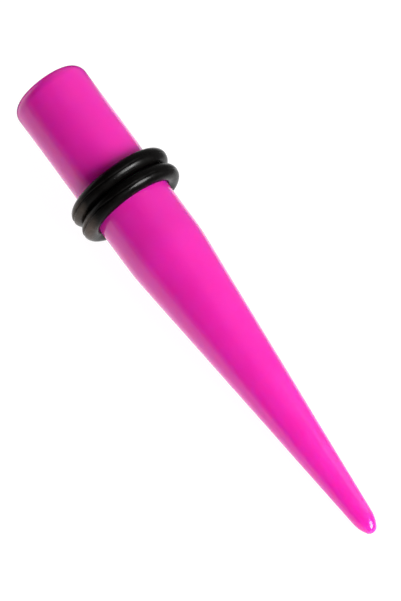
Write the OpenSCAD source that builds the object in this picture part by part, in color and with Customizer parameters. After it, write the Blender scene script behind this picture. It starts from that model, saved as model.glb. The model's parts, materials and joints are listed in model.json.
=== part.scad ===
// Straight ear stretching taper with two O-rings, lying on a flat surface as it rests by itself.
// Millimetres. +Z is up, +X runs along the taper towards its point, and the surface is at Z = 0.

/* [Taper] */
// Diameter of the straight shank, which is the gauge of the taper
shank_d = 8; // [6:0.5:12]
// Length of the straight shank, from the butt face to the break
shank_length = 20.7; // [18:0.1:26]
// Length of the whole taper
total_length = 55; // [50:0.5:80]
// Diameter that the cone heads for at the end of the point
point_d = 1.87; // [1.75:0.01:2.6]
// Radius of the rounded rim of the butt face
butt_round = 1.3; // [0.2:0.1:1.8]
// Radius that softens the break between the shank and the cone
break_round = 22; // [5:1:40]
// Radius of the long shoulder where the cone bends in to the point
shoulder_round = 3.5; // [3:0.5:8]
// Radius of the small nose at the end of the point
nose_round = 0.7; // [0.4:0.05:0.8]

/* [O-rings] */
// Thickness of the rubber cord
cord_d = 1.7; // [1.3:0.02:2]
// Depth by which the stretched cord is flattened where it grips the shank
cord_flat = 0.22; // [0:0.01:0.3]
// Gap between the shank and the flattened inside of each ring
ring_gap = 0.04; // [0.02:0.01:0.1]
// Distance from the butt face to the middle of the rear ring
rear_ring_at = 12.6; // [8:0.05:14]
// Gap between the two rings, at the middle of their height
ring_space = 0.16; // [0.16:0.01:1]
// Angle by which the rear ring sits askew on the shank
rear_ring_lean = 1.2; // [0:0.1:1.2]

/* [Rest] */
// Angle by which the taper has rolled about its own axis, as it came to lie
roll = 0.7; // [0:0.1:5]

/* [Hidden] */

taper_colour = [0.91, 0.13, 0.66];
rubber_colour = [0.06, 0.06, 0.065];
$fn = 96;

shank_r = shank_d / 2;
cord_r = cord_d / 2;

// Cone: its half angle, and how far the break's arc reaches along each side
cone_angle = atan((shank_r - point_d / 2) / (total_length - shank_length));
break_reach = break_round * tan(cone_angle / 2);
cone_start = [
    shank_r - break_reach * sin(cone_angle),
    shank_length + break_reach * cos(cone_angle)
];

// Point: the shoulder's arc touches the cone and holds the nose's circle inside it, also touching.
// The two lengths are measured square to the cone's side and along it.
cone_offset = shank_r * cos(cone_angle) + shank_length * sin(cone_angle);
nose_centre = [0, total_length - nose_round];
shoulder_across = cone_offset - shoulder_round;
shoulder_back = sqrt(
    pow(shoulder_round - nose_round, 2)
    - pow(shoulder_across - nose_centre[1] * sin(cone_angle), 2)
);
shoulder_along = nose_centre[1] * cos(cone_angle) - shoulder_back;
shoulder_centre = [
    shoulder_across * cos(cone_angle) - shoulder_along * sin(cone_angle),
    shoulder_across * sin(cone_angle) + shoulder_along * cos(cone_angle)
];
cone_out = [cos(cone_angle), sin(cone_angle)];
cone_end = shoulder_centre + shoulder_round * cone_out;
nose_direction = (nose_centre - shoulder_centre) / norm(nose_centre - shoulder_centre);

// The arcs run on inside the cone by the lap, and the cone's side lies inside them by the seam, so that each
// arc crosses the side at one clear point
lap = 0.5;
seam = 0.0001;

// O-rings: the middle of the cord, and where each ring sits
cord_at = shank_r + ring_gap - cord_flat + cord_r;
front_ring_at = rear_ring_at + cord_d + ring_space;

// Rest: the taper lies on the front ring and on the shoulder of its point, so it dips towards the point
rest_across = cord_at - shoulder_centre[0];
rest_along = shoulder_centre[1] - front_ring_at;
rest_dip = acos((shoulder_round - cord_r) / norm([rest_across, rest_along])) - atan2(rest_along, rest_across);
butt_height = front_ring_at * sin(rest_dip) + cord_at * cos(rest_dip) + cord_r;
butt_overhang = (shank_r - butt_round) * sin(rest_dip) + butt_round * (1 - cos(rest_dip));
point_reach = nose_centre[1] * cos(rest_dip) + nose_round;
middle = (point_reach - butt_overhang) / 2;

// Lays a child that stands on the butt face along the surface
module at_rest() {
    translate([-middle, 0, butt_height])
        rotate([0, 90 + rest_dip, 0])
            rotate([0, 0, roll])
                children();
}

// Rounded butt end, from the butt face up to the straight side
module butt_section() {
    square([shank_r - butt_round, butt_round]);
    intersection() {
        translate([shank_r - butt_round, butt_round])
            circle(butt_round);
        square([shank_r, butt_round]);
    }
}

// Straight shank, up to where the break's arc begins
module shank_section() {
    translate([0, butt_round])
        square([shank_r, shank_length - break_reach - butt_round]);
}

// Soft break between the shank and the cone, run on inside the cone
module break_section() {
    intersection() {
        translate([shank_r - break_round, shank_length - break_reach])
            circle(break_round);
        translate([0, shank_length - break_reach])
            square([shank_r, 2 * break_reach + lap]);
    }
}

// Straight cone, up to where the shoulder begins
module cone_section() {
    polygon([
        [0, cone_start[1]],
        cone_start - seam * cone_out,
        cone_end - seam * cone_out,
        [0, cone_end[1]]
    ]);
}

// Shoulder and nose of the point
module point_section() {
    intersection() {
        translate(shoulder_centre)
            circle(shoulder_round);
        polygon([
            [0, cone_end[1] - lap],
            [shank_r, cone_end[1] - lap],
            nose_centre + shank_r * nose_direction,
            nose_centre
        ]);
    }
    intersection() {
        translate(nose_centre)
            circle(nose_round);
        translate([0, nose_centre[1] - nose_round])
            square([nose_round, 2 * nose_round]);
    }
}

// Solid taper, turned about its axis
module taper() {
    color(taper_colour)
        at_rest()
            rotate_extrude() {
                butt_section();
                shank_section();
                break_section();
                cone_section();
                point_section();
            }
}

// One O-ring round the shank: a round cord, flattened inside where it grips. It leans about a line through its
// middle that the roll alone keeps from being upright, so that it reaches no lower than a ring that sits square.
module o_ring(along, lean) {
    color(rubber_colour)
        at_rest()
            translate([0, 0, along])
                rotate([-lean, 0, 0])
                    rotate_extrude()
                        difference() {
                            translate([cord_at, 0])
                                circle(cord_r);
                            translate([0, -cord_r])
                                square([shank_r + ring_gap, cord_d]);
                        }
}

module o_ring_rear() {
    o_ring(rear_ring_at, rear_ring_lean);
}

module o_ring_front() {
    o_ring(front_ring_at, 0);
}

taper();
o_ring_rear();
o_ring_front();
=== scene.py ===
import json
import math

import bpy
import numpy as np
from mathutils import Matrix, Quaternion, Vector


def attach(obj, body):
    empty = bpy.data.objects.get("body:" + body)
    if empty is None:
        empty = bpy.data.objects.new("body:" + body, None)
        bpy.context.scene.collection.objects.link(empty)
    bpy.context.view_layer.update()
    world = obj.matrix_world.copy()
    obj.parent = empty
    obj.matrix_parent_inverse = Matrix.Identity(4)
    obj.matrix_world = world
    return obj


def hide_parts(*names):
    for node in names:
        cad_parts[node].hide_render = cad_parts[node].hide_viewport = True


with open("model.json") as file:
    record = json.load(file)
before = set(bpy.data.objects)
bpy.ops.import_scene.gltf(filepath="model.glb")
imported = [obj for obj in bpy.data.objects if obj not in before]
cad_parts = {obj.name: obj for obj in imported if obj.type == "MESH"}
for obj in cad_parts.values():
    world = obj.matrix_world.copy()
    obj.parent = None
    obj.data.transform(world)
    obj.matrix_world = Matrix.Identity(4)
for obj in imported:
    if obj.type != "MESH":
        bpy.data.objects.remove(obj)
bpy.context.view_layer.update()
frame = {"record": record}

MM = 0.001

# Left and right are as the camera sees them: the left is -Y and the right is +Y

# The taper, in millimetres: the sizes that part.scad gives it
SHANK_D = 8.0
SHANK_LENGTH = 20.7
TOTAL_LENGTH = 55.0
POINT_D = 1.87
BUTT_ROUND = 1.3
BREAK_ROUND = 22.0
SHOULDER_ROUND = 3.5
NOSE_ROUND = 0.7

# The O-rings, in millimetres and degrees: the sizes and places that part.scad gives them
CORD_D = 1.7
CORD_FLAT = 0.22
RING_GAP = 0.04
REAR_RING_AT = 12.6
RING_SPACE = 0.16
REAR_RING_LEAN = 1.2
ROLL = 0.7

SHANK_R = SHANK_D / 2
CORD_R = CORD_D / 2
CORD_AT = SHANK_R + RING_GAP - CORD_FLAT + CORD_R
FRONT_RING_AT = REAR_RING_AT + CORD_D + RING_SPACE

# Mesh of the taper: steps round its axis and over each arc of its section, and the spacing in millimetres
# of the points over the butt face and along the sides
TAPER_TURNS = 192
RIM_STEPS = 24
BREAK_STEPS = 12
SHOULDER_STEPS = 20
NOSE_STEPS = 14
FACE_SPACING = 0.3
SIDE_SPACING = 0.25

# Mesh of an O-ring: steps round the ring, and round its cord. They are finer over the part of the cord,
# in degrees from straight out, that the mould line crosses.
RING_TURNS = 360
FINE_PART = (-46, 20)
FINE_STEPS = 88
COARSE_STEPS = 72

# Hand polishing, in millimetres: long low waves along the taper, with up to so many crests round it
WAVE_HEIGHT = 0.006
WAVE_COUNT = 7
WAVE_LENGTHS = (7, 20)
MOST_CRESTS = 3
WAVE_SEED = 11

# Butt that isn't cut quite square: its angle in degrees, and how far along the taper it is felt in
# millimetres
BUTT_SKEW = 1.1
SKEW_REACH = 4.0

# Cord that isn't quite even, in millimetres, and the fewest and most waves round the ring that make it so
CORD_WANDER = 0.012
CORD_WAVES = (2, 6)

# Mould line round the outside of each O-ring, in millimetres: a thin ridge with a groove beside it
RIDGE_HEIGHT = 0.035
RIDGE_WIDTH = 0.05
GROOVE_DEPTH = 0.24
GROOVE_WIDTH = 0.075
GROOVE_AT = 0.14

# The mould line is whole on the left of the ring and worn down to a share of that on the rest. The slope
# says how fast it comes back. On the left the line is shifted towards the butt, in radians round the cord.
# All round it strays by a share of its own width and fades by a share of its own height.
WORN_SHARE = 0.12
LEFT_SLOPE = 1.4
LINE_SHIFT = -0.2
LINE_STRAY = 0.6
LINE_FADING = 0.35
STRAY_WAVES = (1, 5)
FADING_WAVES = (2, 14)

# Step where the two halves of the mould didn't meet: its height in millimetres, and in radians round the
# cord how wide it is and how far it reaches
MOULD_STEP = 0.035
STEP_WIDTH = 0.05
STEP_REACH = 0.7
STEP_WAVES = (1, 4)

# Bulge of each O-ring towards the other: the share of the gap between them that the two fill together, and
# how wide it is in radians round the cord
PRESS_SHARE = 0.55
PRESS_WIDTH = 0.5

# Creases across the outside of the cord: their depth in millimetres, how thin they are, how much more of
# them the right side has, and how far round the cord they reach
CREASE_DEPTH = 0.024
CREASE_POWER = 3
CREASE_SIDE = 0.5
CREASE_REACH = 0.3
CREASE_WAVES = (20, 75)
CREASED_WAVES = (1, 3)

# Each O-ring draws its own waves, from this number on
REAR_RING_SEED = 21
FRONT_RING_SEED = 41

# The part of a noise's range that nearly all of it lies in
NOISE_SPAN = (0.3, 0.7)

# Acrylic: colours are linear, sizes and depths in millimetres. The depth is how far red, green and blue light
# go in, times the scale. The marks are squeezed along the taper, so that they run round it.
ACRYLIC_DEEP = (0.90, 0.0235, 0.49)
ACRYLIC_PALE = (0.93, 0.0275, 0.52)
ACRYLIC_ROUGHNESS = (0.05, 0.09)
ACRYLIC_IOR = 1.49
ACRYLIC_DEPTH = (1.0, 0.25, 0.6)
ACRYLIC_SCALE = 0.35
CLOUD_SIZE = 6.0
MARK_SIZE = 2.0
MARK_DETAIL = 5.0
MARK_SQUEEZE = (12, 1, 1)
MARK_DEPTH = 0.0012
SMEAR_SIZE = 3.0
SMEAR_DETAIL = 4.0
SMEAR_SPAN = (0.1, 0.5)

# Rubber, in the same units. A painted reflection of the pale floor turns it grey on the left, in patches: not
# at all at the second place across, and fully at the first.
RUBBER_BLACK = (0.0012, 0.0012, 0.0013)
RUBBER_BLOOM = (0.0045, 0.0038, 0.0034)
RUBBER_ROUGHNESS = (0.2, 0.32)
RUBBER_IOR = 1.5
RUBBER_GLOSS = 0.06
PAINTED_REFLECTION_GREY = (0.165, 0.125, 0.104)
PAINTED_REFLECTION_FROM = (-5.5, -4.3)
PATCH_SIZE = 1.2
PATCH_DETAIL = 3.0
PATCH_DEPTH = 0.02
GRAIN_SIZE = 0.09
GRAIN_DEPTH = 0.004
STREAK_SIZE = 1.0
STREAK_DETAIL = 3.0
STREAK_SQUEEZE = (9, 1, 1)
STREAK_DEPTH = 0.008

# Dust on the rubber: the spacing of the places that may hold a speck in millimetres, the draw from which
# one does, and how far a speck reaches as a share of the spacing
DUST_COLOUR = (0.30, 0.30, 0.28)
DUST_SPACING = 0.5
DUST_DRAW = (0.90, 0.92)
DUST_REACH = (0.03, 0.09)

# The picture, and where the camera stands: angles in degrees, lengths in millimetres
CAMERA_AZIMUTH = 54.8
CAMERA_ELEVATION = 63.7
CAMERA_DISTANCE = 950.0
CAMERA_AIM = (-1.30, 0.13, 3.03)
PICTURE_HEIGHT = 57.79
SENSOR = 36.0

# Floor as the camera sees it: its side in metres, its own light and its whiteness
FLOOR_SIDE = 6.0
FLOOR_GLOW = 0.97
FLOOR_WHITE = 0.14

# Floor as the taper sees it, in metres and radiances: a white card that fades with distance, with an edge
# on the right of the taper that slants one way beside the butt and another beside the point
CARD_LIGHT = 1.2
CARD_REACH = 0.17
CARD_EDGE = 0.0102
CARD_SLANTS = (-0.23, -0.12)
CARD_BLUR = 0.001

# Painted shadow of the taper on that card behind the butt: from where to where it sets in, along the taper
# and across it, and the light that is left in it
SHADOW_BEHIND_BUTT = (-0.031, -0.026)
SHADOW_BESIDE_BUTT = (-0.0085, -0.004)
SHADOW_LIGHT = 0.04

# Room: its light on the right, a pale horizon on the left up to some height, and where across each begins
# and ends
ROOM_LIGHT = 0.32
ROOM_RIGHT = (-0.3, 0.6)
HORIZON_LIGHT = 0.5
HORIZON_TOP = 0.3
HORIZON_LEFT = (-0.5, -0.1)

# Lights: where they stand and what they look at in metres, their width and height, and their radiance
KEY = ((0.258, 0.110, 0.190), (0, 0, 0), (0.185, 0.205), 9.8)
SIDE_FILL = ((0.049, -0.038, 0.012), (0.025, 0, 0.003), (0.05, 0.018), 3.0)
TOP_FILL = ((0.11, 0.035, 0.16), (-0.01, 0, 0), (0.1, 0.1), 2.8)
BUTT_FILL = ((-0.12, 0.02, 0.03), (-0.027, 0, 0.007), (0.05, 0.05), 6.0)

# Lights that only gloss shows, one on the taper for its point and one on the O-rings: as above, and then
# a twist in degrees
POINT_GLOSS = ((0.22, 0.095, 0.155), (0.027, 0, 0.002), (0.26, 0.11), 13.5, 0)
RING_GLOSS = ((0.178, 0.122, 0.205), (-0.0136, 0, 0.006), (0.17, 0.12), 72.0, -33.5)

# Pale card on the right, which only gloss shows: how far to the side it stands, its ends and its height
# in metres, and from where to where along it its light rises
SIDE_CARD_AT = 0.06
SIDE_CARD_ENDS = (-0.08, 0.03)
SIDE_CARD_HEIGHT = 0.07
SIDE_CARD_RISE = (0.004, 0.024)
SIDE_CARD_LIGHT = (0.3, 1.35)


def set_up_camera():
    """Camera at the photo's angle, looking down at the taper from a tele distance."""
    azimuth = math.radians(CAMERA_AZIMUTH)
    elevation = math.radians(CAMERA_ELEVATION)
    back = Vector((
        math.sin(azimuth) * math.cos(elevation),
        -math.cos(azimuth) * math.cos(elevation),
        math.sin(elevation),
    ))
    data = bpy.data.cameras.new("camera")
    data.sensor_width = SENSOR
    data.lens = SENSOR * CAMERA_DISTANCE / PICTURE_HEIGHT
    camera = bpy.data.objects.new("camera", data)
    camera.location = (Vector(CAMERA_AIM) + back * CAMERA_DISTANCE) * MM
    camera.rotation_mode = "QUATERNION"
    camera.rotation_quaternion = (-back).to_track_quat("-Z", "Y")
    bpy.context.scene.collection.objects.link(camera)
    bpy.context.scene.camera = camera


def taper_frame():
    """Matrix of the taper's own frame. Z runs along it from the butt face, and X is its lower side before the
    roll."""
    butt = next(m for m in frame["record"]["mounts"] if m["name"] == "butt_face")
    along = -Vector(butt["axis"]).normalized()
    side = Vector((0, 1, 0))
    down = side.cross(along).normalized()
    turn = Matrix((down, side, along)).transposed().to_4x4()
    return Matrix.Translation(Vector(butt["pos_m"])) @ turn @ Matrix.Rotation(math.radians(ROLL), 4, "Z")


def arc(centre, radius, start, end, steps):
    """Points of an arc in a section, as (out, along) pairs. Angles are in degrees from straight out."""
    angles = np.radians(np.linspace(start, end, steps + 1))
    return np.column_stack([centre[0] + radius * np.cos(angles), centre[1] + radius * np.sin(angles)])


def straight(start, end, spacing):
    """Points of a straight stretch of a section, ends left out."""
    start, end = np.array(start), np.array(end)
    steps = max(2, round(np.linalg.norm(end - start) / spacing))
    return start + np.linspace(0, 1, steps + 1)[1:-1, None] * (end - start)


def taper_section():
    """Half section of the taper from the middle of the butt face to the nose, as (out, along) pairs."""
    cone = math.atan((SHANK_R - POINT_D / 2) / (TOTAL_LENGTH - SHANK_LENGTH))
    reach = BREAK_ROUND * math.tan(cone / 2)
    cone_offset = SHANK_R * math.cos(cone) + SHANK_LENGTH * math.sin(cone)
    nose_at = TOTAL_LENGTH - NOSE_ROUND
    across = cone_offset - SHOULDER_ROUND
    back = math.sqrt((SHOULDER_ROUND - NOSE_ROUND) ** 2 - (across - nose_at * math.sin(cone)) ** 2)
    along = nose_at * math.cos(cone) - back
    shoulder = (
        across * math.cos(cone) - along * math.sin(cone),
        across * math.sin(cone) + along * math.cos(cone),
    )
    cone_angle = math.degrees(cone)
    nose_angle = math.degrees(math.atan2(nose_at - shoulder[1], -shoulder[0]))

    rim = arc((SHANK_R - BUTT_ROUND, BUTT_ROUND), BUTT_ROUND, -90, 0, RIM_STEPS)
    soft_break = arc((SHANK_R - BREAK_ROUND, SHANK_LENGTH - reach), BREAK_ROUND, 0, cone_angle, BREAK_STEPS)
    bend = arc(shoulder, SHOULDER_ROUND, cone_angle, nose_angle, SHOULDER_STEPS)
    nose = arc((0, nose_at), NOSE_ROUND, nose_angle, 90, NOSE_STEPS)
    return np.concatenate([
        straight((0, 0), rim[0], FACE_SPACING),
        rim,
        straight(rim[-1], soft_break[0], SIDE_SPACING),
        soft_break,
        straight(soft_break[-1], bend[0], SIDE_SPACING),
        bend,
        nose[1:-1],
    ])


def lathe(name, rows, closed, place, material):
    """Mesh from rows of (out, along) pairs, one row per step round the axis. A section that isn't closed is
    the taper's, and gets a point on the axis at each end."""
    turns, count = rows.shape[:2]
    angles = np.linspace(0, 2 * math.pi, turns, endpoint=False)
    points = np.stack([
        rows[:, :, 0] * np.cos(angles)[:, None],
        rows[:, :, 0] * np.sin(angles)[:, None],
        rows[:, :, 1],
    ], axis=-1).reshape(-1, 3)
    faces = []
    for i in range(turns):
        following = (i + 1) % turns
        for j in range(count if closed else count - 1):
            k = (j + 1) % count
            faces.append((i * count + j, following * count + j, following * count + k, i * count + k))
    if not closed:
        first, last = len(points), len(points) + 1
        ends = [(0, 0, rows[:, 0, 1].mean()), (0, 0, TOTAL_LENGTH)]
        points = np.concatenate([points, ends])
        for i in range(turns):
            following = (i + 1) % turns
            faces.append((first, following * count, i * count))
            faces.append((last, i * count + count - 1, following * count + count - 1))
    placed = [place @ (Vector(p) * MM) for p in points]
    mesh = bpy.data.meshes.new(name)
    mesh.from_pydata(placed, [], faces)
    mesh.shade_smooth()
    mesh.materials.append(material)
    mesh.update()
    piece = bpy.data.objects.new(name, mesh)
    bpy.context.scene.collection.objects.link(piece)
    return piece


def wander(angles, seed, lowest, highest):
    """Smooth closed curve round the angles, between about -1 and 1, from waves of a few lengths."""
    draw = np.random.default_rng(seed)
    waves = np.arange(lowest, highest + 1)
    sizes = draw.uniform(0.5, 1.0, len(waves))
    starts = draw.uniform(0, 2 * math.pi, len(waves))
    curve = (sizes[:, None] * np.sin(waves[:, None] * angles + starts[:, None])).sum(axis=0)
    return curve / np.abs(curve).max()


def bump(values, centre, width):
    """Bell curve of height 1."""
    return np.exp(-(((values - centre) / width) ** 2) / 2)


def make_taper(place, material):
    """Polished taper, with the long low waves of hand polishing."""
    angles = np.linspace(0, 2 * math.pi, TAPER_TURNS, endpoint=False)
    rows = np.repeat(taper_section()[None], TAPER_TURNS, axis=0)
    draw = np.random.default_rng(WAVE_SEED)
    wave = np.zeros(rows.shape[:2])
    for _ in range(WAVE_COUNT):
        crests = draw.integers(0, MOST_CRESTS + 1)
        length = draw.uniform(*WAVE_LENGTHS)
        start = draw.uniform(0, 2 * math.pi)
        wave += np.sin(crests * angles[:, None] + 2 * math.pi * rows[:, :, 1] / length + start)
    rows[:, :, 0] *= 1 + WAVE_HEIGHT / SHANK_R * wave / math.sqrt(WAVE_COUNT)
    near_butt = np.clip(1 - rows[:, :, 1] / SKEW_REACH, 0, 1)
    rows[:, :, 1] -= near_butt * rows[:, :, 0] * np.sin(angles)[:, None] * math.tan(math.radians(BUTT_SKEW))
    piece = lathe("taper_body", rows, False, place, material)
    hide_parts("taper")
    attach(piece, "root")
    return piece


def ring_swell(angles, around, facing, seed):
    """How far the cord's surface stands out from a plain round cord, in millimetres. It has a row for each
    angle round the ring and a column for each angle round the cord. An O-ring facing 1 has the other one on
    the side of the point, and one facing -1 on the side of the butt."""
    swell = np.repeat(CORD_WANDER * wander(angles, seed, *CORD_WAVES)[:, None], len(around), axis=1)

    left = np.clip(-LEFT_SLOPE * np.sin(angles), 0, 1)[:, None] ** 2
    worn = WORN_SHARE + (1 - WORN_SHARE) * left
    stray = LINE_STRAY * RIDGE_WIDTH / CORD_R * wander(angles, seed + 1, *STRAY_WAVES)[:, None]
    line_at = stray + LINE_SHIFT * left
    fading = LINE_FADING * wander(angles, seed + 2, *FADING_WAVES)[:, None]
    line_size = worn * (1 - LINE_FADING + fading)
    swell += RIDGE_HEIGHT * line_size * bump(around, line_at, RIDGE_WIDTH / CORD_R)
    swell -= GROOVE_DEPTH * line_size * bump(around, line_at + GROOVE_AT / CORD_R, GROOVE_WIDTH / CORD_R)

    side = np.where(around > math.pi, around - 2 * math.pi, around)
    step = np.tanh(side / STEP_WIDTH) * bump(side, 0, STEP_REACH)
    swell += MOULD_STEP / 2 * worn * wander(angles, seed + 3, *STEP_WAVES)[:, None] * step

    gap = RING_SPACE + CORD_AT * math.sin(math.radians(REAR_RING_LEAN)) * np.sin(angles)
    swell += PRESS_SHARE / 2 * gap[:, None] * bump(side, facing * math.pi / 2, PRESS_WIDTH)

    folds = np.abs(wander(angles, seed + 4, *CREASE_WAVES)) ** CREASE_POWER
    creased = np.clip(wander(angles, seed + 5, *CREASED_WAVES) + CREASE_SIDE * np.sin(angles), 0, 1)
    outside = np.clip(np.cos(side) + CREASE_REACH, 0, 1)
    return swell - CREASE_DEPTH * (folds * creased)[:, None] * outside


def make_ring(name, node, at, lean, facing, seed, place, material):
    """O-ring round the shank, with its mould line, slightly uneven cord and a few creases across it."""
    angles = np.linspace(0, 2 * math.pi, RING_TURNS, endpoint=False)
    fine = np.radians(np.linspace(*FINE_PART, FINE_STEPS + 1))
    coarse = np.radians(np.linspace(FINE_PART[1], 360 + FINE_PART[0], COARSE_STEPS + 1)[1:-1])
    around = np.concatenate([fine, coarse])
    radius = CORD_R + ring_swell(angles, around, facing, seed)
    out = np.maximum(CORD_AT + radius * np.cos(around), SHANK_R + RING_GAP)
    rows = np.stack([out, radius * np.sin(around)], axis=-1)
    leaning = place @ Matrix.Translation((0, 0, at * MM)) @ Matrix.Rotation(math.radians(-lean), 4, "X")
    piece = lathe(name, rows, True, leaning, material)
    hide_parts(node)
    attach(piece, "root")
    return piece


class Shading:
    """Nodes of a material or of the world, and the few kinds of node that they are made of here. Values and
    places that go into a node are the outputs of other nodes."""

    def __init__(self, owner):
        owner.use_nodes = True
        self.nodes = owner.node_tree.nodes
        self.links = owner.node_tree.links

    def output(self, kind, name):
        """Output of a new node that takes nothing in."""
        return self.nodes.new(kind).outputs[name]

    def axes(self, where):
        """X, Y and Z of a place."""
        node = self.nodes.new("ShaderNodeSeparateXYZ")
        self.links.new(where, node.inputs["Vector"])
        return node.outputs["X"], node.outputs["Y"], node.outputs["Z"]

    def squeezed(self, where, scale):
        """The same place, scaled along X, Y and Z."""
        node = self.nodes.new("ShaderNodeMapping")
        node.inputs["Scale"].default_value = scale
        self.links.new(where, node.inputs["Vector"])
        return node.outputs["Vector"]

    def noise(self, where, size, detail=2.0):
        """Noise from 0 to 1 whose lumps are about so many millimetres across."""
        node = self.nodes.new("ShaderNodeTexNoise")
        node.inputs["Scale"].default_value = 1 / (size * MM)
        node.inputs["Detail"].default_value = detail
        self.links.new(where, node.inputs["Vector"])
        return node.outputs["Fac"]

    def maths(self, operation, *terms):
        """Math node on values and numbers."""
        node = self.nodes.new("ShaderNodeMath")
        node.operation = operation
        for socket, term in zip(node.inputs, terms):
            if isinstance(term, (int, float)):
                socket.default_value = term
            else:
                self.links.new(term, socket)
        return node.outputs["Value"]

    def ramp(self, value, span, ends):
        """Smooth step of a value, from the first end to the second as it crosses the span."""
        node = self.nodes.new("ShaderNodeMapRange")
        node.interpolation_type = "SMOOTHSTEP"
        for socket, number in zip(("From Min", "From Max", "To Min", "To Max"), (*span, *ends)):
            node.inputs[socket].default_value = number
        self.links.new(value, node.inputs["Value"])
        return node.outputs["Result"]

    def blend(self, share, first, second):
        """Colour between two, by a share that varies over the surface."""
        node = self.nodes.new("ShaderNodeMix")
        node.data_type = "RGBA"
        self.links.new(share, node.inputs["Factor"])
        for name, colour in (("A", first), ("B", second)):
            socket = next(i for i in node.inputs if i.name == name and i.type == "RGBA")
            if isinstance(colour, tuple):
                socket.default_value = (*colour, 1)
            else:
                self.links.new(colour, socket)
        return next(o for o in node.outputs if o.type == "RGBA")

    def relief(self, height, depth, normal=None):
        """Bump whose height of 1 stands so many millimetres proud."""
        node = self.nodes.new("ShaderNodeBump")
        node.inputs["Distance"].default_value = depth * MM
        self.links.new(height, node.inputs["Height"])
        if normal:
            self.links.new(normal, node.inputs["Normal"])
        return node.outputs["Normal"]


def acrylic_material():
    """Dyed opaque acrylic, polished: faint marks run round it, and its colour and gloss vary a little."""
    material = bpy.data.materials.new("magenta_acrylic")
    tree = Shading(material)
    shader = tree.nodes["Principled BSDF"]
    where = tree.output("ShaderNodeTexCoord", "Object")
    clouds = tree.ramp(tree.noise(where, CLOUD_SIZE), NOISE_SPAN, (0, 1))
    tree.links.new(tree.blend(clouds, ACRYLIC_DEEP, ACRYLIC_PALE), shader.inputs["Base Color"])
    marks = tree.noise(tree.squeezed(where, MARK_SQUEEZE), MARK_SIZE, MARK_DETAIL)
    smears = tree.noise(where, SMEAR_SIZE, SMEAR_DETAIL)
    dulled = tree.maths("MULTIPLY", marks, smears)
    tree.links.new(tree.ramp(dulled, SMEAR_SPAN, ACRYLIC_ROUGHNESS), shader.inputs["Roughness"])
    tree.links.new(tree.relief(marks, MARK_DEPTH), shader.inputs["Normal"])
    shader.inputs["IOR"].default_value = ACRYLIC_IOR
    shader.inputs["Subsurface Weight"].default_value = 1.0
    shader.inputs["Subsurface Radius"].default_value = ACRYLIC_DEPTH
    shader.inputs["Subsurface Scale"].default_value = ACRYLIC_SCALE * MM
    return material


def dust_specks(tree, where):
    """Share of dust at a place: 1 on the few specks and 0 elsewhere."""
    cells = tree.nodes.new("ShaderNodeTexVoronoi")
    cells.inputs["Scale"].default_value = 1 / (DUST_SPACING * MM)
    tree.links.new(where, cells.inputs["Vector"])
    split = tree.nodes.new("ShaderNodeSeparateColor")
    tree.links.new(cells.outputs["Color"], split.inputs["Color"])
    chosen = tree.ramp(split.outputs["Red"], DUST_DRAW, (0, 1))
    close = tree.ramp(cells.outputs["Distance"], DUST_REACH, (1, 0))
    return tree.maths("MULTIPLY", chosen, close)


def rubber_material():
    """Black rubber, with a fine grain, streaks, patches of different gloss and dust, and a painted reflection
    of the floor that greys its left side.
    """
    material = bpy.data.materials.new("black_rubber")
    tree = Shading(material)
    shader = tree.nodes["Principled BSDF"]
    where = tree.output("ShaderNodeTexCoord", "Object")
    patches = tree.noise(where, PATCH_SIZE, PATCH_DETAIL)
    black = tree.blend(patches, RUBBER_BLACK, RUBBER_BLOOM)
    across = tree.axes(where)[1]
    # painted reflection: the left of the rings is turned grey in patches, standing in for the pale floor seen
    # in them
    on_left = tree.ramp(across, [edge * MM for edge in PAINTED_REFLECTION_FROM], (1, 0))
    painted_reflection = tree.blend(tree.maths("MULTIPLY", on_left, patches), black, PAINTED_REFLECTION_GREY)
    dusty = tree.blend(dust_specks(tree, where), painted_reflection, DUST_COLOUR)
    tree.links.new(dusty, shader.inputs["Base Color"])
    tree.links.new(tree.ramp(patches, NOISE_SPAN, RUBBER_ROUGHNESS), shader.inputs["Roughness"])
    grain = tree.relief(tree.noise(where, GRAIN_SIZE), GRAIN_DEPTH)
    streaks = tree.noise(tree.squeezed(where, STREAK_SQUEEZE), STREAK_SIZE, STREAK_DETAIL)
    streaked = tree.relief(streaks, STREAK_DEPTH, grain)
    tree.links.new(tree.relief(patches, PATCH_DEPTH, streaked), shader.inputs["Normal"])
    shader.inputs["IOR"].default_value = RUBBER_IOR
    shader.inputs["Specular IOR Level"].default_value = RUBBER_GLOSS
    return material


def card_light(tree):
    """Radiance of the floor as the taper sees it: a white card that fades with distance on the left, ends
    beside the taper on the right and has a painted shadow of the taper behind the butt."""
    x, y, _ = tree.axes(tree.output("ShaderNodeNewGeometry", "Position"))
    away = tree.maths("DIVIDE", y, CARD_REACH)
    fading = tree.maths("MULTIPLY_ADD", away, away, 1.0)
    white = tree.maths("DIVIDE", CARD_LIGHT, fading)

    butt_side = tree.maths("MINIMUM", x, 0.0)
    point_side = tree.maths("MAXIMUM", x, 0.0)
    slanted = tree.maths("MULTIPLY_ADD", butt_side, -CARD_SLANTS[0], y)
    past_edge = tree.maths("MULTIPLY_ADD", point_side, -CARD_SLANTS[1], slanted)
    on_card = tree.ramp(past_edge, (CARD_EDGE, CARD_EDGE + CARD_BLUR), (1, 0))

    # painted shadow: the card is dimmed behind the butt, where the taper would shade the floor
    behind = tree.ramp(x, SHADOW_BEHIND_BUTT, (1, 0))
    beside = tree.ramp(y, SHADOW_BESIDE_BUTT, (0, 1))
    dim = tree.maths("MULTIPLY", behind, beside)

    lit = tree.maths("MULTIPLY", on_card, tree.maths("SUBTRACT", 1.0, dim))
    white_part = tree.maths("MULTIPLY", white, lit)
    room_part = tree.maths("MULTIPLY", tree.maths("SUBTRACT", 1.0, on_card), ROOM_LIGHT)
    painted_shadow_part = tree.maths("MULTIPLY", dim, SHADOW_LIGHT)
    return tree.maths("ADD", tree.maths("ADD", white_part, room_part), painted_shadow_part)


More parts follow.
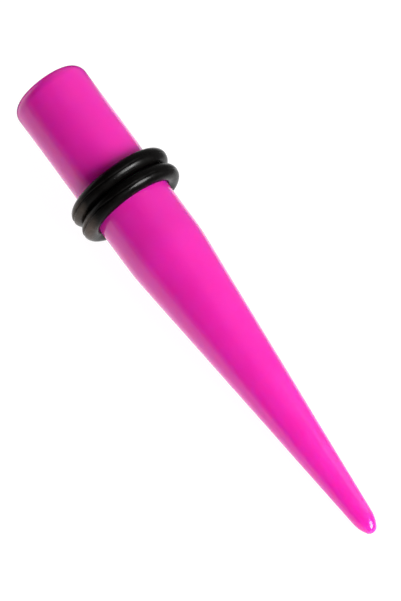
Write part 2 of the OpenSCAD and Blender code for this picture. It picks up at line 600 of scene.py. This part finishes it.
def set_up_floor():
    """Pale floor, which looks plain to the camera and throws the light of a smaller white card."""
    material = bpy.data.materials.new("pale_floor")
    tree = Shading(material)
    shader = tree.nodes["Principled BSDF"]
    shader.inputs["Base Color"].default_value = (FLOOR_WHITE, FLOOR_WHITE, FLOOR_WHITE, 1)
    shader.inputs["Roughness"].default_value = 1.0
    shader.inputs["Specular IOR Level"].default_value = 0.0
    shader.inputs["Emission Color"].default_value = (1, 1, 1, 1)
    shader.inputs["Emission Strength"].default_value = FLOOR_GLOW
    card = tree.nodes.new("ShaderNodeEmission")
    tree.links.new(card_light(tree), card.inputs["Strength"])
    mix = tree.nodes.new("ShaderNodeMixShader")
    tree.links.new(tree.output("ShaderNodeLightPath", "Is Camera Ray"), mix.inputs["Fac"])
    tree.links.new(card.outputs["Emission"], mix.inputs[1])
    tree.links.new(shader.outputs["BSDF"], mix.inputs[2])
    tree.links.new(mix.outputs["Shader"], tree.nodes["Material Output"].inputs["Surface"])

    half = FLOOR_SIDE / 2
    corners = [(-half, -half), (half, -half), (half, half), (-half, half)]
    mesh = bpy.data.meshes.new("floor")
    mesh.from_pydata([(x, y, 0) for x, y in corners], [], [(0, 1, 2, 3)])
    mesh.materials.append(material)
    floor = bpy.data.objects.new("floor", mesh)
    bpy.context.scene.collection.objects.link(floor)


def add_light(name, place, target, size, radiance):
    """Softbox that lights without showing in the gloss."""
    data = bpy.data.lights.new(name, "AREA")
    data.shape = "RECTANGLE"
    data.size, data.size_y = size
    data.energy = radiance * math.pi * size[0] * size[1]
    light = bpy.data.objects.new(name, data)
    light.location = place
    light.rotation_mode = "QUATERNION"
    light.rotation_quaternion = (Vector(target) - Vector(place)).to_track_quat("-Z", "Y")
    light.visible_camera = False
    light.visible_glossy = False
    bpy.context.scene.collection.objects.link(light)
    return light


def add_gloss(name, place, target, size, radiance, twist, pieces):
    """Softbox that shows only in the gloss of some pieces, twisted about the way it faces."""
    light = add_light(name, place, target, size, radiance)
    light.rotation_quaternion @= Quaternion((0, 0, 1), math.radians(twist))
    light.visible_glossy = True
    light.visible_diffuse = False
    shown_on = bpy.data.collections.new(name)
    for piece in pieces:
        shown_on.objects.link(piece)
    light.light_linking.receiver_collection = shown_on


def set_up_side_card():
    """Pale card on the right of the picture, which only gloss shows."""
    material = bpy.data.materials.new("side_card")
    tree = Shading(material)
    tree.nodes.remove(tree.nodes["Principled BSDF"])
    along = tree.axes(tree.output("ShaderNodeNewGeometry", "Position"))[0]
    light = tree.nodes.new("ShaderNodeEmission")
    tree.links.new(tree.ramp(along, SIDE_CARD_RISE, SIDE_CARD_LIGHT), light.inputs["Strength"])
    tree.links.new(light.outputs["Emission"], tree.nodes["Material Output"].inputs["Surface"])

    low, high = SIDE_CARD_ENDS
    corners = [(low, 0), (high, 0), (high, SIDE_CARD_HEIGHT), (low, SIDE_CARD_HEIGHT)]
    mesh = bpy.data.meshes.new("side_card")
    mesh.from_pydata([(x, SIDE_CARD_AT, z) for x, z in corners], [], [(0, 1, 2, 3)])
    mesh.materials.append(material)
    card = bpy.data.objects.new("side_card", mesh)
    card.visible_camera = False
    card.visible_diffuse = False
    card.visible_shadow = False
    bpy.context.scene.collection.objects.link(card)


def set_up_room():
    """Room round the floor. The camera sees it white. The light that it gives is dim on the right, and on the
    left there is only a pale horizon."""
    world = bpy.data.worlds.new("studio")
    tree = Shading(world)
    background = tree.nodes["Background"]
    background.inputs["Color"].default_value = (1, 1, 1, 1)
    _, across, height = tree.axes(tree.output("ShaderNodeTexCoord", "Generated"))
    right = tree.ramp(across, ROOM_RIGHT, (0, ROOM_LIGHT))
    low = tree.ramp(height, (0, HORIZON_TOP), (HORIZON_LIGHT, 0))
    left = tree.ramp(across, HORIZON_LEFT, (1, 0))
    room = tree.maths("ADD", right, tree.maths("MULTIPLY", low, left))
    seen = tree.output("ShaderNodeLightPath", "Is Camera Ray")
    tree.links.new(tree.maths("MAXIMUM", room, seen), background.inputs["Strength"])
    bpy.context.scene.world = world
    bpy.context.scene.view_settings.view_transform = "Standard"


set_up_camera()
place = taper_frame()
acrylic = acrylic_material()
rubber = rubber_material()
taper = make_taper(place, acrylic)
rear_ring = make_ring(
    "rear_o_ring", "o_ring_rear", REAR_RING_AT, REAR_RING_LEAN, 1, REAR_RING_SEED, place, rubber
)
front_ring = make_ring("front_o_ring", "o_ring_front", FRONT_RING_AT, 0, -1, FRONT_RING_SEED, place, rubber)
set_up_floor()
add_light("key", *KEY)
add_light("side_fill", *SIDE_FILL)
add_light("top_fill", *TOP_FILL)
add_light("butt_fill", *BUTT_FILL)
add_gloss("point_gloss", *POINT_GLOSS, [taper])
add_gloss("ring_gloss", *RING_GLOSS, [rear_ring, front_ring])
set_up_side_card()
set_up_room()
